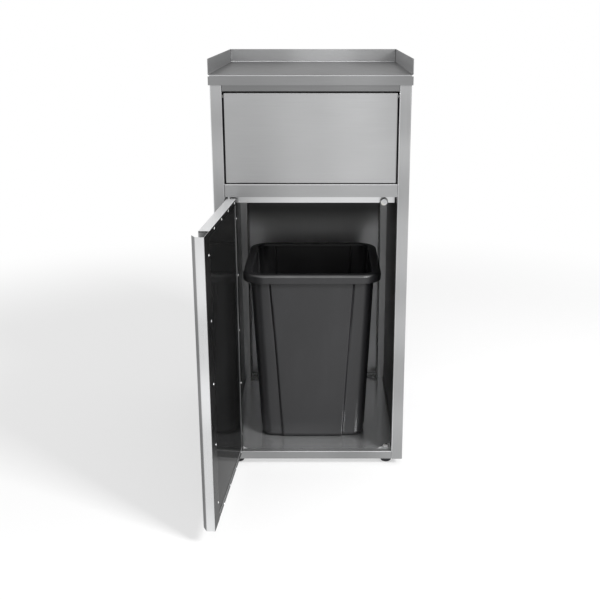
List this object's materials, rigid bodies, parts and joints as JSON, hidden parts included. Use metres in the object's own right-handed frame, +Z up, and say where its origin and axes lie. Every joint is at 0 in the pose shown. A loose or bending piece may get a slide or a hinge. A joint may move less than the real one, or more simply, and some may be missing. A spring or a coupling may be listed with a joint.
{
  "type": "waste bin cabinet",
  "caption": "Steel cabinet for a loose plastic waste bin, with a tray top, a swing flap above and a hinged door below that has a folded finger pull.",
  "frame": {"origin": "middle of the footprint on the floor, with the door open as in the picture", "axes": "+Z up, -Y towards the front, +X to the right as seen from the front"},
  "size_m": [0.506, 1.0192, 1.1],
  "materials": {
    "brushed_steel": "satin brushed stainless sheet and tube",
    "bright_steel": "bright, nearly mirror-like stainless sheet",
    "zinc": "zinc-plated steel",
    "nylon": "natural nylon",
    "black_rubber": "matte",
    "black_plastic": "satin moulding"
  },
  "bodies": {
    "cabinet": {"post_front_left": "brushed_steel", "post_front_right": "brushed_steel", "post_rear_left": "brushed_steel", "post_rear_right": "brushed_steel", "rail_top_front": "brushed_steel", "rail_top_rear": "brushed_steel", "rail_top_left": "brushed_steel", "rail_top_right": "brushed_steel", "rail_bottom_front": "brushed_steel", "rail_bottom_rear": "brushed_steel", "rail_bottom_left": "brushed_steel", "rail_bottom_right": "brushed_steel", "mid_rail": "brushed_steel", "side_panel_left": "brushed_steel", "side_panel_right": "brushed_steel", "tray_top": "brushed_steel", "corner_plate_front_left": "brushed_steel", "corner_plate_front_right": "brushed_steel", "corner_plate_rear_left": "brushed_steel", "corner_plate_rear_right": "brushed_steel", "catch_plate": "brushed_steel", "hinge_bracket": "brushed_steel", "side_liner_left": "bright_steel", "side_liner_right": "bright_steel", "back_panel": "bright_steel", "floor_panel": "bright_steel", "hinge_pin_top": "zinc", "hinge_pin_bottom": "zinc", "catch_magnet": "zinc", "foot_stud_front_left": "zinc", "foot_stud_front_right": "zinc", "foot_stud_rear_left": "zinc", "foot_stud_rear_right": "zinc", "foot_nut_front_left": "zinc", "foot_nut_front_right": "zinc", "foot_nut_rear_left": "zinc", "foot_nut_rear_right": "zinc", "flap_bush_left": "nylon", "flap_bush_right": "nylon", "foot_pad_front_left": "black_rubber", "foot_pad_front_right": "black_rubber", "foot_pad_rear_left": "black_rubber", "foot_pad_rear_right": "black_rubber"},
    "door": {"door_skin": "brushed_steel", "door_liner": "bright_steel", "door_pull": "brushed_steel", "door_bush_top": "nylon", "door_bush_bottom": "nylon"},
    "flap": {"flap_pan": "brushed_steel", "flap_plate": "brushed_steel", "flap_pin_left": "zinc", "flap_pin_right": "zinc"},
    "bin": {"waste_bin": "black_plastic"}
  },
  "joints": [
    {"name": "door_hinge", "type": "hinge", "parent": "cabinet", "child": "door", "pos_m": [-0.211, -0.08145, 0.4], "axis": [0, 0, 1], "range_deg": [-16, 94]},
    {"name": "flap_swing", "type": "hinge", "parent": "cabinet", "child": "flap", "pos_m": [0, -0.08045, 1.0095], "axis": [1, 0, 0], "range_deg": [-75, 75]},
    {"name": "bin_slide", "type": "slide", "parent": "cabinet", "child": "bin", "axis": [0, 1, 0], "range_m": [-0.03, 0.14]}
  ]
}
